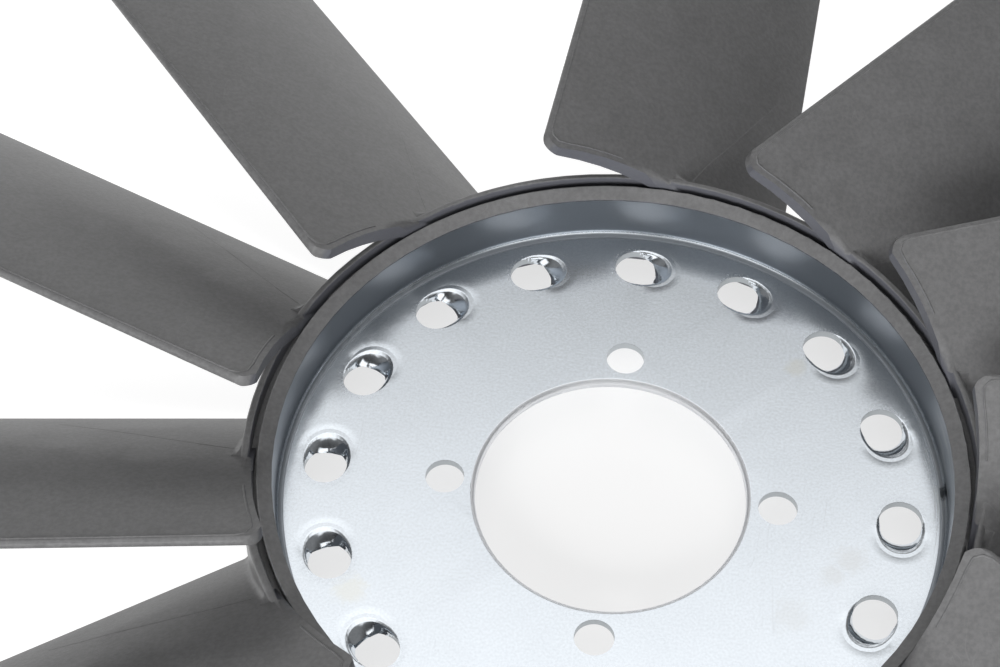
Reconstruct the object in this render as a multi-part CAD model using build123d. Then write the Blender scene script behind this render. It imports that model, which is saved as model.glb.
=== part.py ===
from build123d import *
import math
import os

# Axial fan impeller: a pressed steel hub dish with a one-piece moulded fan on its rim.
# Millimetres. +Z is the fan axis and points to the intake side. The origin is the centre
# of the bore on the front face of the steel disc.

# Steel hub dish
SHEET = 2.5
BORE_R = 38.0
BORE_EDGE_R = 1.4
BOLT_CIRCLE_R = 46.8
BOLT_HOLE_R = 5.5
BOLT_COUNT = 4
RIM_IN_R = 93.5
RIM_TOP = 15.4
RIM_BEND_R = 2.0

# Vent holes in the disc. On its clockwise side each one has a round scoop, where the sheet
# rolls down into the hole.
VENT_COUNT = 16
VENT_CIRCLE_R = 80.85
VENT_R = 6.05
SCOOP_R = 5.6
SCOOP_WALL = 2.0
SCOOP_ROLL_R = 8.0
SCOOP_START = 12.5
SCOOP_LIFT = 0.15
SCOOP_LEVELS = (0.5, 0.0, -0.4, -0.9, -1.6, -2.5, -3.6, -5.6)
SCOOP_END_Z = -3.3
SCOOP_END_TILT = 39.0
SCOOP_EDGE_R = 1.5

# Moulded hub ring
BAND_IN_Z = 15.9
BAND_OUT_R = 97.7
BAND_OUT_Z = 17.9
GROOVE_OUT_R = 99.7
GROOVE_FLOOR = 14.2
LIP_TOP = 18.6
LIP_R = 102.1
SKIRT_R = 102.6
SKIRT_IN_R = 99.0
RING_BOTTOM = -16.0
TOE_R = 89.0
TOE_BOTTOM = -6.0

# Blades: straight leading and trailing edges, given at the station BLADE_REF from the axis
BLADE_ANGLES = (
    213.2, 186.3, 157.2, 129.6, 84.6, 50.9, 22.2, -7.0, -38.5, -73.6, -108.7,
)
BLADE_REF = 114.0
LEAD_V = 39.0
LEAD_Z = 34.7
LEAD_Z_SLOPE = -0.040
TRAIL_V = -32.9
TRAIL_V_SLOPE = 0.021
TRAIL_Z = -12.9
TRAIL_Z_SLOPE = 0.026
TIP_R = 280.0
CAMBER_ROOT = 4.8
CAMBER_TIP = 4.2
THICK_ROOT = 4.2
THICK_TIP = 3.0
NOSE_SHARE = 0.72
TAIL_SHARE = 0.40
ROOT_STATION = 84.0
TIP_STATION = 286.0
ROOT_R = 98.4
ROOT_BURY = 0.6
CORNER_R = 6.0
CORNER_CLEAR = 0.1
ROOT_FILLET = 3.0
WALL_R = 101.9
FILLET_TOP = 17.6
FILLET_BOTTOM = -15.8


def polar(radius, degrees):
    """Point on a circle about the fan axis."""
    a = math.radians(degrees)
    return (radius * math.cos(a), radius * math.sin(a))


def round_corner(section, x, z, radius):
    """Round the corner of an open sketch that lies at (x, z)."""
    fillet([v for v in section.vertices() if math.dist((v.X, v.Y), (x, z)) < 0.01], radius)


def dish_blank():
    """Disc and rim pressed from one sheet."""
    out_r = RIM_IN_R + SHEET
    with BuildSketch(Plane.XZ) as section:
        with BuildLine():
            Polyline(
                (BORE_R, -SHEET),
                (out_r, -SHEET),
                (out_r, RIM_TOP),
                (RIM_IN_R, RIM_TOP),
                (RIM_IN_R, 0),
                (BORE_R, 0),
                close=True,
            )
        make_face()
        round_corner(section, RIM_IN_R, 0, RIM_BEND_R)
        round_corner(section, out_r, -SHEET, RIM_BEND_R + SHEET)
        round_corner(section, BORE_R, 0, BORE_EDGE_R)
    return revolve(section.sketch, Axis.Z)


def scoop_reach(z):
    """How far the scoop reaches clockwise at height z: down a rolled edge, and straight above it."""
    below = SCOOP_ROLL_R - SCOOP_LIFT
    level = min(z, 0)
    reach = SCOOP_START - math.sqrt(SCOOP_ROLL_R**2 - (level + below) ** 2)
    slope = below / math.sqrt(SCOOP_ROLL_R**2 - below**2)
    return reach + slope * (z - level)


def scoop_core(radius):
    """Round plug that fills a scoop, in the hole's frame: +X is the clockwise side."""
    return loft([Pos(scoop_reach(z) - SCOOP_R, 0, z) * Circle(radius) for z in SCOOP_LEVELS])


def scoop_shell():
    """Sheet that hangs under the disc round a scoop, solid until the scoop is cut."""
    under = Pos(VENT_R, 0, -SHEET / 2 - 5) * Box(30, 30, 10)
    end = Pos(VENT_R, 0, SCOOP_END_Z) * Rot(0, SCOOP_END_TILT, 0) * Pos(0, 0, 10) * Box(40, 30, 20)
    return scoop_core(SCOOP_R + SCOOP_WALL) & under & end


def scoop_mouths(plate):
    """Edges of the scoops in the front face of the disc."""
    mouths = []
    for edge in plate.edges():
        box = edge.bounding_box()
        flat = abs(box.min.Z) < 0.001 and abs(box.max.Z) < 0.001
        middle = math.hypot(box.center().X, box.center().Y)
        if flat and abs(middle - VENT_CIRCLE_R) < 2 * SCOOP_R:
            mouths.append(edge)
    return mouths


def hub_plate():
    """Steel dish with bore, bolt holes and scooped vent holes."""
    plate = dish_blank()
    shell = scoop_shell()
    core = scoop_core(SCOOP_R)
    hole = Pos(0, 0, -SHEET) * Cylinder(VENT_R, 6 * SHEET)
    spots = []
    for i in range(VENT_COUNT):
        angle = 360 / VENT_COUNT * i
        x, y = polar(VENT_CIRCLE_R, angle)
        spots.append(Pos(x, y, 0) * Rot(0, 0, angle - 90))
    plate += [spot * shell for spot in spots]
    plate -= [spot * core for spot in spots]
    plate = plate.fillet(SCOOP_EDGE_R, scoop_mouths(plate))
    holes = [spot * hole for spot in spots]
    for i in range(BOLT_COUNT):
        x, y = polar(BOLT_CIRCLE_R, 360 / BOLT_COUNT * i)
        holes.append(Pos(x, y, -SHEET / 2) * Cylinder(BOLT_HOLE_R, 3 * SHEET))
    return plate - holes


def hub_ring():
    """Moulded ring that grips the steel rim, with its groove, lip and outer skirt."""
    steel_r = RIM_IN_R + SHEET
    bend = RIM_BEND_R + SHEET
    turn = bend * math.sqrt(0.5)
    with BuildSketch(Plane.XZ) as section:
        with BuildLine():
            Polyline(
                (steel_r, bend - SHEET),
                (steel_r, RIM_TOP),
                (RIM_IN_R, RIM_TOP),
                (RIM_IN_R, BAND_IN_Z),
                (BAND_OUT_R, BAND_OUT_Z),
                (BAND_OUT_R, GROOVE_FLOOR),
                (GROOVE_OUT_R, GROOVE_FLOOR),
                (GROOVE_OUT_R, LIP_TOP),
                (LIP_R, LIP_TOP),
                (SKIRT_R, RING_BOTTOM),
                (SKIRT_IN_R, RING_BOTTOM),
                (SKIRT_IN_R, TOE_BOTTOM),
                (TOE_R, TOE_BOTTOM),
                (TOE_R, -SHEET),
                (steel_r - bend, -SHEET),
            )
            ThreePointArc(
                (steel_r - bend, -SHEET),
                (steel_r - bend + turn, bend - SHEET - turn),
                (steel_r, bend - SHEET),
            )
        make_face()

        round_corner(section, LIP_R, LIP_TOP, 1.6)
        round_corner(section, GROOVE_OUT_R, LIP_TOP, 0.5)
        round_corner(section, BAND_OUT_R, BAND_OUT_Z, 0.4)
        round_corner(section, SKIRT_R, RING_BOTTOM, 0.8)
        round_corner(section, SKIRT_IN_R, TOE_BOTTOM, 1.5)
    return revolve(section.sketch, Axis.Z)


def station(u):
    """Chord ends, camber and thickness of the blade section at distance u from the axis."""
    away = u - BLADE_REF
    lead = (LEAD_V, LEAD_Z + LEAD_Z_SLOPE * away)
    trail = (TRAIL_V + TRAIL_V_SLOPE * away, TRAIL_Z + TRAIL_Z_SLOPE * away)
    part = (u - BLADE_REF) / (TIP_R - BLADE_REF)
    camber = CAMBER_ROOT + (CAMBER_TIP - CAMBER_ROOT) * part
    thick = THICK_ROOT + (THICK_TIP - THICK_ROOT) * part
    return lead, trail, camber, thick


def long_arc(nose, tail, height, side):
    """Arc of the given height that runs tangent into the nose circle and the tail circle."""
    (xn, rn), (xt, rt) = nose, tail
    p = height - side * rn
    q = height - side * rt
    a = q - p
    b = 2 * (p * xt - q * xn)
    c = q * (xn**2 + height**2 - rn**2) - p * (xt**2 + height**2 - rt**2)
    root = math.sqrt(b**2 - 4 * a * c)
    x = min((-b + root) / (2 * a), (-b - root) / (2 * a), key=abs)
    radius = ((xn - x) ** 2 + height**2 - rn**2) / (2 * p)
    y = height - radius
    ends = []
    for end in (xn, xt):
        reach = math.hypot(end - x, y)
        ends.append((x + radius * (end - x) / reach, y - radius * y / reach))
    return ends[0], (x, height), ends[1]


def blade_section(u):
    """Cambered section: two long arcs that run smoothly into a round nose and a thin tail."""
    lead, trail, camber, thick = station(u)
    half = math.dist(lead, trail) / 2
    nose_r = NOSE_SHARE * thick / 2
    tail_r = TAIL_SHARE * thick / 2
    nose = (half - nose_r, nose_r)
    tail = (tail_r - half, tail_r)
    front = long_arc(nose, tail, camber + thick / 2, 1)
    back = long_arc(nose, tail, camber - thick / 2, -1)
    with BuildSketch() as outline:
        with BuildLine():
            ThreePointArc(*front)
            ThreePointArc(front[2], (-half, 0), back[2])
            ThreePointArc(*back)
            ThreePointArc(back[0], (half, 0), front[0])
        make_face()
    stagger = math.degrees(math.atan2(lead[1] - trail[1], lead[0] - trail[0]))
    middle = ((lead[0] + trail[0]) / 2, (lead[1] + trail[1]) / 2)
    across = Plane(origin=(u, 0, 0), x_dir=(0, 1, 0), z_dir=(1, 0, 0))
    return across * Pos(*middle) * Rot(0, 0, stagger) * outline.sketch


def root_corner():
    """Chip that rounds the free root corner of the leading edge."""
    lead, trail, _, _ = station(ROOT_R)
    stagger = math.atan2(lead[1] - trail[1], lead[0] - trail[0])
    start = math.sqrt(ROOT_R**2 - LEAD_V**2)
    reach = 3 * CORNER_R
    inner = math.sqrt(ROOT_R**2 - (LEAD_V - reach * math.cos(stagger)) ** 2)
    plane = Plane(
        origin=(start, lead[0], lead[1]),
        x_dir=(1, 0, 0),
        z_dir=(0, -math.sin(stagger), math.cos(stagger)),
    )
    tip = (-CORNER_CLEAR, CORNER_CLEAR)
    with BuildSketch(plane) as chip:
        with BuildLine():
            Polyline(
                tip,
                (reach, CORNER_CLEAR),
                (reach, CORNER_R),
                (-CORNER_R, CORNER_R),
                (-CORNER_R, -reach),
                (inner - start - CORNER_CLEAR, -reach),
                close=True,
            )
        make_face()
        round_corner(chip, *tip, CORNER_R)
    return extrude(chip.sketch, amount=2 * CORNER_R, both=True)


def root_trimmer():
    """Space kept clear inside the blade roots, narrower above the groove floor."""
    low = 2 * RING_BOTTOM
    wide = GROOVE_OUT_R + ROOT_BURY
    lower = Pos(0, 0, (low + GROOVE_FLOOR) / 2) * Cylinder(wide, GROOVE_FLOOR - low)
    upper = Pos(0, 0, GROOVE_FLOOR) * Cylinder(ROOT_R, 2 * LEAD_Z)
    return lower + upper


def bare_blade():
    """One blade on the X axis, trimmed to its root and to the tip circle."""
    body = loft([blade_section(ROOT_STATION), blade_section(TIP_STATION)], ruled=True)
    body -= root_trimmer()
    body -= root_corner()
    return body & Cylinder(TIP_R, 200)


def blade():
    """Blade with a hollow fillet all round where it grows out of the ring wall."""
    plain = bare_blade()
    skin = Cylinder(WALL_R, 3 * LEAD_V) - Cylinder(GROOVE_OUT_R + ROOT_BURY / 2, 3 * LEAD_V)
    seat = skin & Pos(WALL_R, 0, 0) * Box(WALL_R, 4 * LEAD_V, 3 * LEAD_V)
    joined = seat + plain
    meet = []
    for edge in joined.edges():
        spots = [edge.position_at(k) for k in (0.02, 0.25, 0.5, 0.75, 0.98)]
        on_wall = all(abs(math.hypot(p.X, p.Y) - WALL_R) < 0.02 for p in spots)
        on_blade = all(abs(p.Y) < 1.2 * LEAD_V and abs(p.Z) < 1.2 * LEAD_Z for p in spots)
        if on_wall and on_blade:
            meet.append(edge)
    rooted = joined.solids()[0].fillet(ROOT_FILLET, meet)
    low = Pos(0, 0, (FILLET_TOP + FILLET_BOTTOM) / 2)
    high = Pos(0, 0, FILLET_TOP + LEAD_Z)
    near = rooted & low * Cylinder(2 * TIP_R, FILLET_TOP - FILLET_BOTTOM)
    return near + (plain & high * Cylinder(2 * TIP_R, 2 * LEAD_Z))


def fan_moulding():
    """Hub ring and all blades as one moulding."""
    one = blade()
    blades = [Rot(0, 0, angle) * one for angle in BLADE_ANGLES]
    return hub_ring() + blades


os.makedirs("parts", exist_ok=True)
plate = hub_plate()
moulding = fan_moulding()
print("hub plate", len(plate.solids()), round(plate.volume))
print("moulding", len(moulding.solids()), round(moulding.volume))
export_step(plate, "parts/hub_plate.step")
export_step(moulding, "parts/fan_moulding.step")
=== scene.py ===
import math

import bmesh
import bpy
from mathutils import Matrix, Vector


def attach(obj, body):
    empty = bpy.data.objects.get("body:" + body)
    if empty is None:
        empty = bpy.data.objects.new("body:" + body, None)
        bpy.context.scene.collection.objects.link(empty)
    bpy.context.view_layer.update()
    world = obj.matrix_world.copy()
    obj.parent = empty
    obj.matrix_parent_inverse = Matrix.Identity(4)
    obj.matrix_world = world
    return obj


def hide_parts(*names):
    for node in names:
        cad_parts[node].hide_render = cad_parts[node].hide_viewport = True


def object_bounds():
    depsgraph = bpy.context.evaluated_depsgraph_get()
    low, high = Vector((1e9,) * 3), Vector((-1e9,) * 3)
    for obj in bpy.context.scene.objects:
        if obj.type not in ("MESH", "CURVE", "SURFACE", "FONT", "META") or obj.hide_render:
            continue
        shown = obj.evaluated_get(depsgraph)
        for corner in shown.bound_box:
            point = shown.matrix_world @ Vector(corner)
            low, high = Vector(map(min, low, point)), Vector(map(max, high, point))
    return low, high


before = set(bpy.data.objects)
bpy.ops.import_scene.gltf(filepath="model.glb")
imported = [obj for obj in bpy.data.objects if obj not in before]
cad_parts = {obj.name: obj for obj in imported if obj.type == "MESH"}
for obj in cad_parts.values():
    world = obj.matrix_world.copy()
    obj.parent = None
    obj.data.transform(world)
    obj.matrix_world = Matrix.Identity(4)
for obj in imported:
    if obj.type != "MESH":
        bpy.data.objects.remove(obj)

# Axial fan impeller: zinc-plated pressed dish, moulded into a dark plastic fan.
# Metres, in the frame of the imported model: +Z is the fan axis, z = 0 is the disc's front face.
MM = 0.001
CAD_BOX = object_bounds()
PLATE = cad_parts["hub_plate"]
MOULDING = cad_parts["fan_moulding"]
MERGE_WITHIN = 0.002 * MM
SHARP_DEGREES = 28

# Zones of the plating and of its painted shade and painted highlights. Each pair is where a zone begins and
# where it is full
BORE_RIM = (39.4 * MM, 38.9 * MM)
HOLES_INSIDE = (89.0 * MM, 88.0 * MM)
HOLE_WALL_TILT = (0.12, 0.05)
WALL_ABOVE = (0.8 * MM, 2.2 * MM)
# Painted shade darkens the bend between the disc and the wall
BEND_OUTSIDE = (91.4 * MM, 91.7 * MM)
BEND_BELOW = (1.0 * MM, 0.5 * MM)
# Painted highlight: a thin broken line along the bend
BEND_HIGHLIGHT_OUTSIDE = (91.7 * MM, 91.9 * MM)
BEND_HIGHLIGHT_INSIDE = (92.2 * MM, 92.0 * MM)
BEND_HIGHLIGHT_BREAKS = (0.36, 0.52)
SCUFF_OUTSIDE = (88.5 * MM, 91.5 * MM)
SCUFF_BREAKS = (0.50, 0.60)

# Chip in the plating at the bend: its turn about the axis in radians, how far round it and the
# scuffs beside it reach, how ragged it is, and its zone
CHIP_TURN = 0.109
CHIP_REACH = (0.052, 0.030)
SCUFF_REACH = (0.30, 0.05)
CHIP_RAGGED = 0.04
CHIP_OUTSIDE = (91.8 * MM, 92.1 * MM)
CHIP_BELOW = (2.6 * MM, 1.8 * MM)

# Vents, with the soft sinking of the disc towards each scoop, in metres and then millimetres
VENT_COUNT = 16
VENT_CIRCLE_R = 80.85 * MM
VENT_RUBBED = (9.4 * MM, 6.6 * MM)
SCOOP_MIDDLE = 5.36 * MM
SCOOP_ROLL = (9.4 * MM, 6.9 * MM)
SCOOP_ROLL_SIDE = (1.0 * MM, 7.0 * MM)
SCOOP_ROLL_FACE = (-0.4 * MM, -0.1 * MM)
SCOOP_ROLL_DROP = 0.09
SCOOP_POLISHED = (-0.2 * MM, -0.8 * MM)

# Stains on the disc: x, y, size in millimetres and how much they show
YELLOW_STAINS = ((-67.4, -39.8, 5.5, 0.55), (49.5, 49.0, 3.5, 0.5))
BROWN_STAINS = ((67.3, -14.6, 5.0, 0.45), (62.5, -20.0, 4.0, 0.4), (52.0, -34.0, 6.0, 0.3))

# Colours of the plating and of the plastic
ZINC = (0.80, 0.85, 0.90, 1.0)
ZINC_SMUDGE = (0.60, 0.62, 0.63, 1.0)
ZINC_SCRATCH = (0.55, 0.57, 0.60, 1.0)
ZINC_YELLOWED = (0.80, 0.80, 0.74, 1.0)
ZINC_BROWNED = (0.70, 0.71, 0.71, 1.0)
# Painted shade: the drawn wall inside the dish is darkened
DRAWN_WALL_PAINTED_SHADE = (0.285, 0.312, 0.35, 1.0)
# Painted shade: the bend between the disc and the wall is darkened
BEND_PAINTED_SHADE = (0.17, 0.19, 0.22, 1.0)
SCUFFED_EDGE = (0.62, 0.64, 0.64, 1.0)
CUT_WALL = (0.50, 0.53, 0.55, 1.0)
# Painted highlight: the bore's rim is made lighter all round
BORE_RIM_HIGHLIGHT = (0.97, 0.98, 1.0, 1.0)
CHIPPED = (0.10, 0.11, 0.12, 1.0)
PLASTIC = (0.140, 0.140, 0.142, 1.0)
PLASTIC_SMUDGE = (0.19, 0.19, 0.19, 1.0)
PLASTIC_SCRATCH = (0.22, 0.22, 0.22, 1.0)
# Painted shade, darker and bluer, for faces turned towards the axis
PLASTIC_END_PAINTED_SHADE = (0.085, 0.088, 0.105, 1.0)
PLASTIC_IOR = 1.55
WHITE = (1.0, 1.0, 1.0, 1.0)

# Lines moulded on each blade's front face, as (along, across) places in millimetres: the parting
# line, and the line that follows the leading edge and turns along the free root end
BLADE_ANGLES = (213.2, 186.3, 157.2, 129.6, 84.6, 50.9, 22.2, -7.0, -38.5, -73.6, -108.7)
PARTING = ((103.5, -4.2), (115.0, -8.0), (130.0, -14.0), (145.0, -19.7), (158.0, -24.6))
EDGE_LINE = (
    (276.5, 37.1), (99.0, 37.1), (96.3, 36.3), (94.9, 34.3), (95.5, 31.0), (97.0, 26.0),
    (98.3, 20.5), (99.1, 16.0),
)
LINE_STEPS = 40
BEAD_R = 0.40 * MM
BEAD_SIDES = 8
PARTING_SHOWS = 0.06 * MM
EDGE_LINE_SHOWS = 0.20 * MM
DROP_REACH = 30.0 * MM

# Blade edges that the paths are hung above: place across the blade and height, in millimetres
LEAD_V = 39.0
LEAD_Z = 34.7
TRAIL_V = -32.9
TRAIL_Z = -12.9
PATH_ABOVE = 14.0

# Camera that took the photograph: place, elevation, turn about the axis and roll
CAMERA_PLACE = Vector((18.9, -367.9, 562.5)) * MM
CAMERA_ELEVATION = 53.04
CAMERA_TURN = 7.65
CAMERA_ROLL = -0.88
CAMERA_LENS = 86.2
SENSOR_WIDTH = 36.0

# Studio light, where 1 is white. Each pair is where a light fades in or out, by a direction's x, y
# or z: the overhead softbox, the two low softboxes beside the camera, the white sweep and the room
OVERHEAD_SIDE = (0.44, 0.24)
OVERHEAD_FRONT = (-0.34, -0.22)
OVERHEAD_BACK = (0.656, 0.616)
OVERHEAD_MIDDLE = (0.600, 0.500)
OVERHEAD_ABOVE = (0.0, 0.2)
OVERHEAD_LIGHT = 1.10
OVERHEAD_EDGE_LIGHT = 0.605
LOW_BOX_Z = (0.10, 0.17, 0.60, 0.68)
LOW_BOX_SPREAD = (0.05, 0.11, 0.85, 1.15)
LOW_BOX_TURN = 0.10
LOW_BOX_FRONT = (-0.15, -0.25)
LOW_BOX_LIGHT = 1.25
SWEEP_TOP = (0.60, 0.42)
SWEEP_BEHIND = (-0.1, 0.35)
SWEEP_SIDE = (0.66, 0.45)
ROOM_TURN = (-0.7, -0.1)
ROOM_BACK = (0.35, 0.60)
ROOM_BACK_SHARE = 0.5
SIDE_LIGHT = 0.19
CAMERA_SIDE_LIGHT = 0.06
KEY_TURN = -100.0
KEY_HEIGHT = 22.0
KEY_AWAY = 1.3
KEY_SIZE = 0.6
KEY_POWER = 20.0

# Floor: half its width, where its painted shadow under the hub ends, the glow in that painted shadow, its
# glow and its greys
FLOOR_HALF = 4.0
PAINTED_SHADOW_UNDER_HUB = (98.0 * MM, 104.0 * MM)
PAINTED_SHADOW_GLOW = 0.70
FLOOR_GLOW = 0.94
FLOOR_LIT = (0.8, 0.8, 0.8, 1.0)
FLOOR_SEEN = (0.3, 0.3, 0.3, 1.0)


def link_object(name, data):
    """New object in the scene."""
    made = bpy.data.objects.new(name, data)
    bpy.context.scene.collection.objects.link(made)
    return made


class Graph:
    """Short way of adding and joining shader nodes."""

    def __init__(self, tree):
        self.tree = tree

    def put(self, value, target):
        """Joins an output to an input, or sets a plain value on it."""
        if isinstance(value, bpy.types.NodeSocket):
            self.tree.links.new(value, target)
        else:
            target.default_value = value

    def add(self, kind, settings=None, **inputs):
        node = self.tree.nodes.new(kind)
        for key, value in (settings or {}).items():
            setattr(node, key, value)
        for key, value in inputs.items():
            self.put(value, node.inputs[key.replace("_", " ")])
        return node

    def in_order(self, node, values):
        for place, value in enumerate(values):
            self.put(value, node.inputs[place])
        return node.outputs

    def maths(self, operation, *values, clamp=False):
        node = self.add("ShaderNodeMath", {"operation": operation, "use_clamp": clamp})
        return self.in_order(node, values)[0]

    def plus(self, a, b):
        return self.maths("ADD", a, b)

    def minus(self, a, b):
        return self.maths("SUBTRACT", a, b)

    def times(self, first, *others):
        for other in others:
            first = self.maths("MULTIPLY", first, other)
        return first

    def size(self, value):
        """Value without its sign."""
        return self.maths("ABSOLUTE", value)

    def length(self, x, y):
        return self.maths("SQRT", self.plus(self.times(x, x), self.times(y, y)))

    def vector(self, operation, *values, output="Vector"):
        node = self.add("ShaderNodeVectorMath", {"operation": operation})
        return self.in_order(node, values)[output]

    def span(self, value, low, high, to_low=0.0, to_high=1.0, kind="SMOOTHSTEP"):
        """Maps value from low..high to to_low..to_high, held at the ends."""
        node = self.add(
            "ShaderNodeMapRange",
            {"interpolation_type": kind},
            Value=value,
            From_Min=low,
            From_Max=high,
            To_Min=to_low,
            To_Max=to_high,
        )
        return node.outputs["Result"]

    def noise(self, place, scale, detail=3.0, roughness=0.55):
        node = self.add("ShaderNodeTexNoise", Vector=place, Scale=scale, Detail=detail, Roughness=roughness)
        return node.outputs["Fac"]

    def mix(self, style, factor, a, b):
        node = self.add("ShaderNodeMix", {"data_type": "RGBA", "blend_type": style}, Factor=factor)
        colours = {socket.name: socket for socket in node.inputs if socket.type == "RGBA"}
        self.put(a, colours["A"])
        self.put(b, colours["B"])
        return next(socket for socket in node.outputs if socket.type == "RGBA")

    def tint(self, colour, shade):
        """Colour multiplied by a changing shade."""
        return self.mix("MULTIPLY", 1.0, colour, shade)

    def cover(self, shade, layers):
        """Colours laid over a shade one after another, as (mask, strength, colour)."""
        for mask, strength, colour in layers:
            if strength < 1:
                mask = self.times(mask, strength)
            shade = self.mix("MIX", mask, shade, colour)
        return shade

    def total(self, base, parts):
        """Base with each (mask, amount) added."""
        for mask, amount in parts:
            base = self.plus(base, self.times(mask, amount))
        return base

    def object_place(self):
        return self.add("ShaderNodeTexCoord").outputs["Object"]

    def surface_normal(self):
        return self.add("ShaderNodeNewGeometry").outputs["Normal"]


# Shader node groups that both finishes use


def new_group(name, inputs, outputs):
    """Empty shader node group. Inputs are (name, value), or a name alone for a vector."""
    tree = bpy.data.node_groups.new(name, "ShaderNodeTree")
    for given in inputs:
        if isinstance(given, str):
            tree.interface.new_socket(given, in_out="INPUT", socket_type="NodeSocketVector")
        else:
            label, value = given
            socket = tree.interface.new_socket(label, in_out="INPUT", socket_type="NodeSocketFloat")
            socket.default_value = value
    for label in outputs:
        tree.interface.new_socket(label, in_out="OUTPUT", socket_type="NodeSocketFloat")
    graph = Graph(tree)
    return graph, graph.add("NodeGroupInput").outputs, graph.add("NodeGroupOutput").inputs


def per_mm(graph, size):
    """Noise scale for features of a size in millimetres."""
    return graph.maths("DIVIDE", 1 / MM, size)


def surface_grain_group():
    """Fine unevenness of a surface: a height for bump and a slow change of tone."""
    inputs = ("Vector", ("Grain Size", 1.0), ("Cloud Size", 40.0), ("Cloud Depth", 0.1))
    graph, given, out = new_group("surface grain", inputs, ("Height", "Tone"))
    fine = graph.noise(given["Vector"], per_mm(graph, given["Grain Size"]), 4.0, 0.6)
    cloud = graph.noise(given["Vector"], per_mm(graph, given["Cloud Size"]), 5.0, 0.62)
    swing = graph.times(graph.minus(cloud, 0.5), given["Cloud Depth"])
    graph.put(fine, out["Height"])
    graph.put(graph.plus(swing, 1.0), out["Tone"])
    return graph.tree


def handling_marks_group():
    """Smudges, thin random scratches and a fine speckle, as masks."""
    inputs = ("Vector", ("Smudge Size", 25.0), ("Smudge Share", 0.3), ("Scratch Spacing", 9.0))
    graph, given, out = new_group("handling marks", inputs, ("Smudge", "Scratch", "Fine"))
    place = given["Vector"]
    patch = graph.noise(place, per_mm(graph, given["Smudge Size"]), 6.0, 0.65)
    edge = graph.minus(0.78, graph.times(given["Smudge Share"], 0.4))
    graph.put(graph.maths("MULTIPLY", graph.minus(patch, edge), 9.0, clamp=True), out["Smudge"])
    spacing = per_mm(graph, given["Scratch Spacing"])
    lines = None
    for turn in (0.35, 1.25, 2.4):
        stretched = graph.add(
            "ShaderNodeMapping", Vector=place, Rotation=(0.0, 0.0, turn), Scale=(1.0, 0.05, 1.0)
        )
        wander = graph.noise(stretched.outputs[0], spacing, 2.0, 0.5)
        thin = graph.span(graph.size(graph.minus(wander, 0.5)), 0.0, 0.0022, 1.0, 0.0)
        broken = graph.span(graph.noise(place, 30.0, 2.0), 0.56, 0.62)
        line = graph.times(thin, broken)
        lines = line if lines is None else graph.maths("MAXIMUM", lines, line)
    graph.put(lines, out["Scratch"])
    graph.put(graph.noise(place, 1100.0, 3.0, 0.6), out["Fine"])
    return graph.tree


def stain_group():
    """Soft ragged patch round one place, as a mask."""
    graph, given, out = new_group("stain", ("Vector", "Place", ("Size", 0.005)), ("Mask",))
    away = graph.vector("DISTANCE", given["Vector"], given["Place"], output="Value")
    ragged = graph.noise(given["Vector"], 260.0, 4.0, 0.65)
    share = graph.plus(graph.maths("DIVIDE", away, given["Size"]), graph.times(ragged, 1.6))
    graph.put(graph.span(share, 1.1, 2.0, 1.0, 0.0), out["Mask"])
    return graph.tree


GRAIN = surface_grain_group()
MARKS = handling_marks_group()
STAIN = stain_group()


def use_group(graph, tree, **inputs):
    return graph.add("ShaderNodeGroup", {"node_tree": tree}, **inputs).outputs


# Finishes


def new_material(name):
    """Material with a Principled shader, ready to be fed."""
    made = bpy.data.materials.new(name)
    made.use_nodes = True
    return made, Graph(made.node_tree), made.node_tree.nodes["Principled BSDF"].inputs


def ring_place(graph, place):
    """Radius from the fan axis, angle about it and height."""
    x, y, z = graph.add("ShaderNodeSeparateXYZ", Vector=place).outputs
    return graph.length(x, y), graph.maths("ARCTAN2", y, x), z


def dark_plastic():
    """Matt glass-filled moulding: mottled clouds, fine grain and grey scuffs, with painted shade, darker
    and bluer, on faces turned towards the axis.
    """
    made, graph, shader = new_material("dark moulded plastic")
    place = graph.object_place()
    grain = use_group(graph, GRAIN, Vector=place, Grain_Size=0.55, Cloud_Size=42.0, Cloud_Depth=0.36)
    mottle = use_group(graph, GRAIN, Vector=place, Grain_Size=1.4, Cloud_Size=7.0, Cloud_Depth=0.30)
    marks = use_group(
        graph, MARKS, Vector=place, Smudge_Size=26.0, Smudge_Share=0.42, Scratch_Spacing=14.0
    )
    outward = graph.vector("NORMALIZE", graph.vector("MULTIPLY", place, (1.0, 1.0, 0.0)))
    facing = graph.vector("DOT_PRODUCT", outward, graph.surface_normal(), output="Value")
    inward_painted_shade = graph.span(facing, -0.55, -0.85)

    shade = graph.tint(graph.tint(PLASTIC, grain["Tone"]), mottle["Tone"])
    shade = graph.tint(shade, graph.span(mottle["Height"], 0.30, 0.70, 0.88, 1.12))
    shade = graph.cover(
        shade,
        (
            (marks["Smudge"], 0.22, PLASTIC_SMUDGE),
            (marks["Scratch"], 0.30, PLASTIC_SCRATCH),
            # painted shade on faces turned towards the axis
            (inward_painted_shade, 0.8, PLASTIC_END_PAINTED_SHADE),
        ),
    )
    graph.put(shade, shader["Base Color"])
    rough = graph.total(0.30, ((grain["Height"], 0.14), (marks["Smudge"], 0.06)))
    graph.put(rough, shader["Roughness"])
    shader["IOR"].default_value = PLASTIC_IOR
    relief = graph.plus(grain["Height"], graph.times(mottle["Height"], 1.2))
    bump = graph.add("ShaderNodeBump", Height=relief, Strength=0.25, Distance=0.12 * MM)
    graph.put(bump.outputs[0], shader["Normal"])
    return made


def stains(graph, place, spots):
    """All stains of one kind as one mask."""
    total = None
    for x, y, size, strength in spots:
        one = use_group(graph, STAIN, Vector=place, Place=(x * MM, y * MM, 0.0), Size=size * MM)
        one = graph.times(one["Mask"], strength)
        total = one if total is None else graph.maths("MAXIMUM", total, one)
    return total


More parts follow.
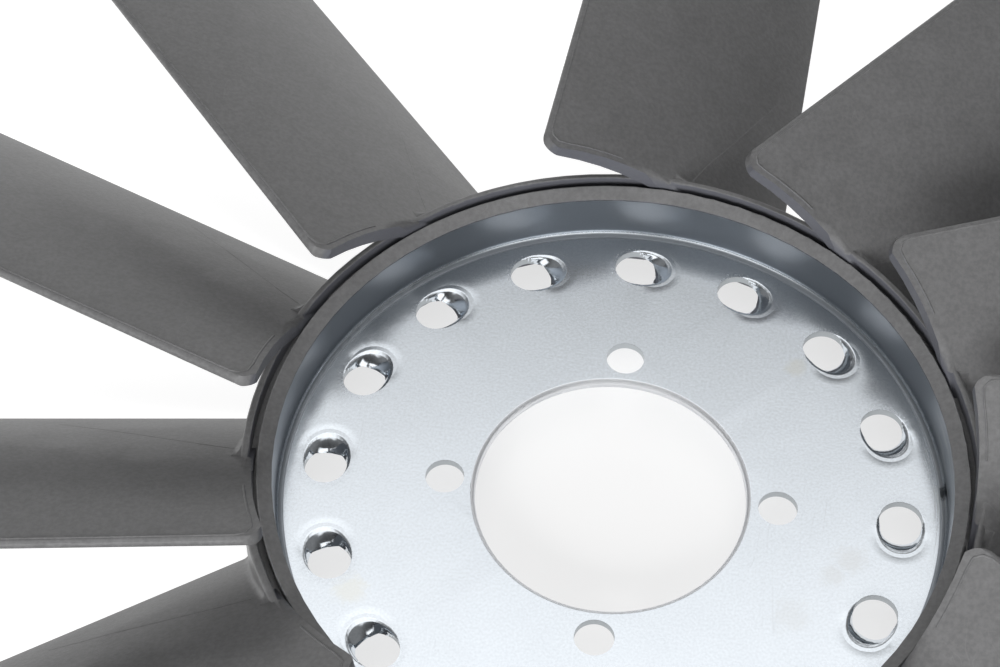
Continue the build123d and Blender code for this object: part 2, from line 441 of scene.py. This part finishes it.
def vent_place(graph, radius, angle):
    """Place in the frame of the nearest vent hole: clockwise and outward from its centre."""
    step = 2 * math.pi / VENT_COUNT
    turn = graph.maths("WRAP", angle, step / 2, -step / 2)
    clockwise = graph.times(graph.maths("SINE", turn), radius, -1.0)
    outward = graph.minus(graph.times(graph.maths("COSINE", turn), radius), VENT_CIRCLE_R)
    return clockwise, outward


def scoop_roll(graph, clockwise, outward, height):
    """Height in millimetres by which the disc sinks softly towards each scoop."""
    away = graph.length(graph.minus(clockwise, SCOOP_MIDDLE), outward)
    share = graph.span(away, *SCOOP_ROLL, kind="LINEAR")
    sink = graph.times(share, share, -SCOOP_ROLL_DROP)
    sink = graph.times(sink, graph.span(clockwise, *SCOOP_ROLL_SIDE))
    return graph.times(sink, graph.span(height, *SCOOP_ROLL_FACE))


def bend_painted_light_and_wear(graph, place, radius, angle, height, drawn):
    """Masks of the painted shade on the bend, the painted highlight line along it, the scuffs beside the
    chip and the chip.
    """
    bend = graph.times(graph.span(radius, *BEND_OUTSIDE), graph.span(height, *BEND_BELOW))
    line = graph.times(graph.span(radius, *BEND_HIGHLIGHT_OUTSIDE), graph.span(radius, *BEND_HIGHLIGHT_INSIDE))
    line = graph.times(line, graph.span(drawn, *BEND_HIGHLIGHT_BREAKS))
    from_chip = graph.size(graph.minus(angle, CHIP_TURN))
    scuff = graph.times(graph.span(radius, *SCUFF_OUTSIDE), graph.span(from_chip, *SCUFF_REACH))
    scuff = graph.times(scuff, graph.span(drawn, *SCUFF_BREAKS))
    ragged = graph.plus(from_chip, graph.times(graph.noise(place, 900.0, 2.0), CHIP_RAGGED))
    chip = graph.times(graph.span(ragged, *CHIP_REACH), graph.span(radius, *CHIP_OUTSIDE))
    chip = graph.times(chip, graph.span(height, *CHIP_BELOW))
    return bend, line, scuff, chip


def zinc_plate():
    """Satin zinc plating: polished scoops, painted shade on the drawn wall and the bend, painted
    highlights, stains and fine scratches.
    """
    made, graph, shader = new_material("zinc-plated steel")
    place = graph.object_place()
    radius, angle, height = ring_place(graph, place)
    grain = use_group(graph, GRAIN, Vector=place, Grain_Size=0.8, Cloud_Size=24.0, Cloud_Depth=0.10)
    marks = use_group(
        graph, MARKS, Vector=place, Smudge_Size=18.0, Smudge_Share=0.30, Scratch_Spacing=9.0
    )
    around = graph.add(
        "ShaderNodeCombineXYZ",
        X=graph.times(radius, 3000.0),
        Y=graph.times(angle, 7.0),
        Z=graph.times(height, 900.0),
    )
    drawn = graph.noise(around.outputs[0], 1.0, 4.0, 0.6)
    wall = graph.span(height, *WALL_ABOVE)
    bend, line, scuff, chip = bend_painted_light_and_wear(graph, place, radius, angle, height, drawn)
    upright = graph.add("ShaderNodeSeparateXYZ", Vector=graph.surface_normal()).outputs["Z"]
    cut = graph.span(graph.size(upright), *HOLE_WALL_TILT)
    cut = graph.times(cut, graph.span(radius, *HOLES_INSIDE))
    rim = graph.span(radius, *BORE_RIM)
    clockwise, outward = vent_place(graph, radius, angle)
    rubbed = graph.span(graph.length(clockwise, outward), *VENT_RUBBED)
    rubbed = graph.times(rubbed, graph.span(marks["Fine"], 0.35, 0.65))
    polished = graph.span(height, *SCOOP_POLISHED)

    shade = graph.tint(ZINC, grain["Tone"])
    shade = graph.tint(shade, graph.span(grain["Height"], 0.30, 0.70, 0.95, 1.05))
    shade = graph.cover(
        shade,
        (
            (marks["Smudge"], 0.16, ZINC_SMUDGE),
            (marks["Scratch"], 0.30, ZINC_SCRATCH),
            (stains(graph, place, YELLOW_STAINS), 1.0, ZINC_YELLOWED),
            (stains(graph, place, BROWN_STAINS), 1.0, ZINC_BROWNED),
            # painted shade: the drawn wall is darkened
            (wall, 0.85, DRAWN_WALL_PAINTED_SHADE),
            # painted shade: the bend is darkened
            (bend, 0.70, BEND_PAINTED_SHADE),
            # painted highlight: a thin line along the bend, lightened towards zinc
            (line, 0.30, ZINC),
            (scuff, 0.60, SCUFFED_EDGE),
            (cut, 1.0, CUT_WALL),
            # painted highlight: the bore's rim is made lighter
            (rim, 0.90, BORE_RIM_HIGHLIGHT),
            (chip, 1.0, CHIPPED),
        ),
    )
    graph.put(shade, shader["Base Color"])
    shader["Metallic"].default_value = 1.0
    rough = graph.total(
        0.19,
        (
            (grain["Height"], 0.07),
            (marks["Smudge"], 0.07),
            (bend, 0.30),
            (scuff, 0.18),
            (wall, 0.13),
            (rim, 0.40),
            (cut, 0.25),
            (rubbed, 0.06),
            (polished, -0.13),
        ),
    )
    graph.put(rough, shader["Roughness"])
    relief = graph.times(grain["Height"], 0.009)
    relief = graph.plus(relief, graph.times(drawn, wall, 0.004))
    relief = graph.plus(relief, scoop_roll(graph, clockwise, outward, height))
    bump = graph.add("ShaderNodeBump", Height=relief, Strength=1.0, Distance=MM)
    graph.put(bump.outputs[0], shader["Normal"])
    return made


# Pieces


def finished_copy(node, name, finish):
    """Merged, smooth-shaded copy of a CAD node that stands for it."""
    mesh = node.data.copy()
    mesh.name = name
    work = bmesh.new()
    work.from_mesh(mesh)
    bmesh.ops.remove_doubles(work, verts=work.verts, dist=MERGE_WITHIN)
    work.to_mesh(mesh)
    work.free()
    mesh.shade_smooth()
    mesh.set_sharp_from_angle(angle=math.radians(SHARP_DEGREES))
    mesh.materials.clear()
    mesh.materials.append(finish)
    piece = link_object(name, mesh)
    even = piece.modifiers.new("even shading", "WEIGHTED_NORMAL")
    even.keep_sharp = True
    even.weight = 80
    return piece


def blade_lines(name, line):
    """One polyline over each blade, a little above its front face."""
    places, links = [], []
    for angle in BLADE_ANGLES:
        turn = Matrix.Rotation(math.radians(angle), 3, "Z")
        first = len(places)
        for step in range(LINE_STEPS + 1):
            reach = step / LINE_STEPS * (len(line) - 1)
            leg = min(int(reach), len(line) - 2)
            along, across = Vector(line[leg]).lerp(Vector(line[leg + 1]), reach - leg)
            part = (across - TRAIL_V) / (LEAD_V - TRAIL_V)
            height = TRAIL_Z + (LEAD_Z - TRAIL_Z) * part + PATH_ABOVE
            places.append(turn @ (Vector((along, across, height)) * MM))
        links += [(i, i + 1) for i in range(first, first + LINE_STEPS)]
    mesh = bpy.data.meshes.new(name)
    mesh.from_pydata(places, links, [])
    return link_object(name, mesh)


def bead_tree():
    """Geometry nodes that drop a path onto a surface and sweep a thin bead along it."""
    tree = bpy.data.node_groups.new("bead on a surface", "GeometryNodeTree")
    face = tree.interface
    for label, kind in (
        ("Geometry", "Geometry"),
        ("Surface", "Object"),
        ("Bead Radius", "Float"),
        ("Sunk", "Float"),
        ("Reach", "Float"),
        ("Finish", "Material"),
    ):
        face.new_socket(label, in_out="INPUT", socket_type="NodeSocket" + kind)
    face.new_socket("Geometry", in_out="OUTPUT", socket_type="NodeSocketGeometry")
    graph = Graph(tree)
    given = graph.add("NodeGroupInput").outputs
    surface = graph.add(
        "GeometryNodeObjectInfo", {"transform_space": "RELATIVE"}, Object=given["Surface"]
    )
    drop = graph.add(
        "GeometryNodeRaycast",
        Target_Geometry=surface.outputs["Geometry"],
        Ray_Direction=(0.0, 0.0, -1.0),
        Ray_Length=given["Reach"],
    ).outputs
    sink = graph.add(
        "ShaderNodeVectorMath", {"operation": "SCALE"}, Vector=drop["Hit Normal"], Scale=given["Sunk"]
    )
    lay = graph.add(
        "GeometryNodeSetPosition",
        Geometry=given["Geometry"],
        Selection=drop["Is Hit"],
        Position=graph.vector("SUBTRACT", drop["Hit Position"], sink.outputs[0]),
    )
    missed = graph.add("FunctionNodeBooleanMath", {"operation": "NOT"})
    graph.put(drop["Is Hit"], missed.inputs[0])
    trim = graph.add(
        "GeometryNodeDeleteGeometry", Geometry=lay.outputs[0], Selection=missed.outputs[0]
    )
    path = graph.add("GeometryNodeMeshToCurve", Mesh=trim.outputs[0])
    section = graph.add(
        "GeometryNodeCurvePrimitiveCircle", Resolution=BEAD_SIDES, Radius=given["Bead Radius"]
    )
    sweep = graph.add(
        "GeometryNodeCurveToMesh",
        Curve=path.outputs[0],
        Profile_Curve=section.outputs["Curve"],
        Fill_Caps=True,
    )
    real = graph.add("GeometryNodeRealizeInstances", Geometry=sweep.outputs[0])
    coat = graph.add("GeometryNodeSetMaterial", Geometry=real.outputs[0], Material=given["Finish"])
    graph.add("NodeGroupOutput", Geometry=coat.outputs[0])
    return tree


def made_by(carrier, tree, name, **values):
    """Plain mesh piece from a carrier object and a geometry node tree; the carrier goes."""
    grow = carrier.modifiers.new("grow", "NODES")
    grow.node_group = tree
    sockets = {s.name: s.identifier for s in tree.interface.items_tree if s.in_out == "INPUT"}
    for label, value in values.items():
        grow[sockets[label.replace("_", " ")]] = value
    ready = carrier.evaluated_get(bpy.context.evaluated_depsgraph_get())
    mesh = bpy.data.meshes.new_from_object(ready)
    mesh.name = name
    bpy.data.objects.remove(carrier)
    return link_object(name, mesh)


plastic = dark_plastic()
zinc = zinc_plate()
dish = finished_copy(PLATE, "pressed_dish", zinc)
fan = finished_copy(MOULDING, "moulded_fan", plastic)
bead = bead_tree()
for name, line, shows in (
    ("parting_ridges", PARTING, PARTING_SHOWS),
    ("edge_lines", EDGE_LINE, EDGE_LINE_SHOWS),
):
    ridge = made_by(
        blade_lines(name + " path", line),
        bead,
        name,
        Surface=MOULDING,
        Bead_Radius=BEAD_R,
        Sunk=BEAD_R - shows,
        Reach=DROP_REACH,
        Finish=plastic,
    )
    ridge.data.shade_smooth()
    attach(ridge, "root")
for piece, name in ((dish, "hub_plate"), (fan, "fan_moulding")):
    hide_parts(name)
    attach(piece, "root")


# Studio


def pale_floor():
    """Wide white floor that keeps the object's shadow, with a painted shadow that makes it a little greyer
    under the hub.
    """
    low = CAD_BOX[0][2]
    corners = [(x * FLOOR_HALF, y * FLOOR_HALF, low) for x, y in ((-1, -1), (1, -1), (1, 1), (-1, 1))]
    mesh = bpy.data.meshes.new("studio floor")
    mesh.from_pydata(corners, [], [(0, 1, 2, 3)])
    floor = link_object("studio floor", mesh)
    made = bpy.data.materials.new("pale floor")
    made.use_nodes = True
    made.node_tree.nodes.remove(made.node_tree.nodes["Principled BSDF"])
    graph = Graph(made.node_tree)
    radius = ring_place(graph, graph.object_place())[0]
    path = graph.add("ShaderNodeLightPath").outputs
    seen = graph.maths("MAXIMUM", path["Is Camera Ray"], path["Is Glossy Ray"])
    seen = graph.maths("MAXIMUM", seen, path["Is Transmission Ray"])
    lit = graph.add("ShaderNodeBsdfDiffuse", Color=FLOOR_LIT)
    dim = graph.add("ShaderNodeBsdfDiffuse", Color=FLOOR_SEEN)
    # Painted shadow: the floor glows less under the hub
    white = graph.span(radius, *PAINTED_SHADOW_UNDER_HUB, PAINTED_SHADOW_GLOW, FLOOR_GLOW)
    glow = graph.add("ShaderNodeEmission", Color=WHITE, Strength=white)
    both = graph.in_order(graph.add("ShaderNodeAddShader"), (dim.outputs[0], glow.outputs[0]))
    mixed = graph.in_order(graph.add("ShaderNodeMixShader"), (seen, lit.outputs[0], both[0]))
    graph.put(mixed[0], made.node_tree.nodes["Material Output"].inputs["Surface"])
    mesh.materials.append(made)


def window(graph, value, edges):
    """1 between the two middle edges and 0 outside the outer ones."""
    return graph.times(graph.span(value, edges[0], edges[1]), graph.span(value, edges[3], edges[2]))


def overhead_box(graph, x, y, z):
    """Large softbox overhead, brighter in its middle than along its far edge."""
    edge = graph.times(graph.span(y, *OVERHEAD_BACK), OVERHEAD_EDGE_LIGHT)
    middle = graph.times(graph.span(y, *OVERHEAD_MIDDLE), OVERHEAD_LIGHT - OVERHEAD_EDGE_LIGHT)
    shape = graph.times(graph.span(graph.size(x), *OVERHEAD_SIDE), graph.span(y, *OVERHEAD_FRONT))
    return graph.times(graph.plus(edge, middle), shape, graph.span(z, *OVERHEAD_ABOVE))


def low_boxes(graph, x, y, z):
    """Two softboxes low down beside the camera, with a dark gap between them."""
    ratio = graph.maths("DIVIDE", x, graph.maths("MINIMUM", y, -0.1))
    away = graph.size(graph.minus(ratio, LOW_BOX_TURN))
    shape = graph.times(window(graph, away, LOW_BOX_SPREAD), window(graph, z, LOW_BOX_Z))
    return graph.times(shape, graph.span(y, *LOW_BOX_FRONT), LOW_BOX_LIGHT)


def dim_room(graph, y):
    """Room behind the lights, darker on the camera's side and far behind the object."""
    room = graph.span(y, *ROOM_TURN, CAMERA_SIDE_LIGHT, SIDE_LIGHT)
    return graph.times(room, graph.span(y, *ROOM_BACK, 1.0, ROOM_BACK_SHARE))


def white_sweep(graph, x, y, z):
    """White sweep low down behind the object."""
    sweep = graph.times(graph.span(z, *SWEEP_TOP), graph.span(y, *SWEEP_BEHIND))
    return graph.times(sweep, graph.span(graph.size(x), *SWEEP_SIDE))


def studio_world():
    """White backdrop for the camera. The surfaces see softboxes in a dim room and a white sweep."""
    world = bpy.data.worlds.new("studio")
    world.use_nodes = True
    bpy.context.scene.world = world
    graph = Graph(world.node_tree)
    seen = graph.add("ShaderNodeLightPath").outputs["Is Camera Ray"]
    direction = graph.add("ShaderNodeTexCoord").outputs["Generated"]
    x, y, z = graph.add("ShaderNodeSeparateXYZ", Vector=direction).outputs
    around = graph.plus(dim_room(graph, y), white_sweep(graph, x, y, z))
    around = graph.plus(around, overhead_box(graph, x, y, z))
    around = graph.plus(around, low_boxes(graph, x, y, z))
    backdrop = graph.add("ShaderNodeBackground", Color=WHITE, Strength=1.0)
    lights = graph.add("ShaderNodeBackground", Color=WHITE, Strength=around)
    mixed = graph.in_order(
        graph.add("ShaderNodeMixShader"), (seen, lights.outputs[0], backdrop.outputs[0])
    )
    graph.put(mixed[0], world.node_tree.nodes["World Output"].inputs["Surface"])


def key_light():
    """Soft lamp low on the camera's left, which only lights and isn't mirrored."""
    data = bpy.data.lights.new("key light", "AREA")
    data.shape = "RECTANGLE"
    data.size = KEY_SIZE
    data.size_y = KEY_SIZE
    data.energy = KEY_POWER
    lamp = link_object("key light", data)
    swing = Matrix.Rotation(math.radians(KEY_TURN), 3, "Z")
    rise = Matrix.Rotation(math.radians(-KEY_HEIGHT), 3, "Y")
    place = swing @ rise @ Vector((KEY_AWAY, 0, 0))
    facing = (-place).to_track_quat("-Z", "Y").to_matrix().to_4x4()
    lamp.matrix_world = Matrix.Translation(place) @ facing
    lamp.visible_glossy = False


def photo_camera():
    data = bpy.data.cameras.new("photo camera")
    data.lens = CAMERA_LENS
    data.sensor_width = SENSOR_WIDTH
    camera = link_object("photo camera", data)
    camera.matrix_world = (
        Matrix.Translation(CAMERA_PLACE)
        @ Matrix.Rotation(math.radians(CAMERA_TURN), 4, "Z")
        @ Matrix.Rotation(math.radians(90 - CAMERA_ELEVATION), 4, "X")
        @ Matrix.Rotation(math.radians(CAMERA_ROLL), 4, "Z")
    )
    bpy.context.scene.camera = camera


pale_floor()
studio_world()
key_light()
photo_camera()
bpy.context.scene.view_settings.view_transform = "Standard"
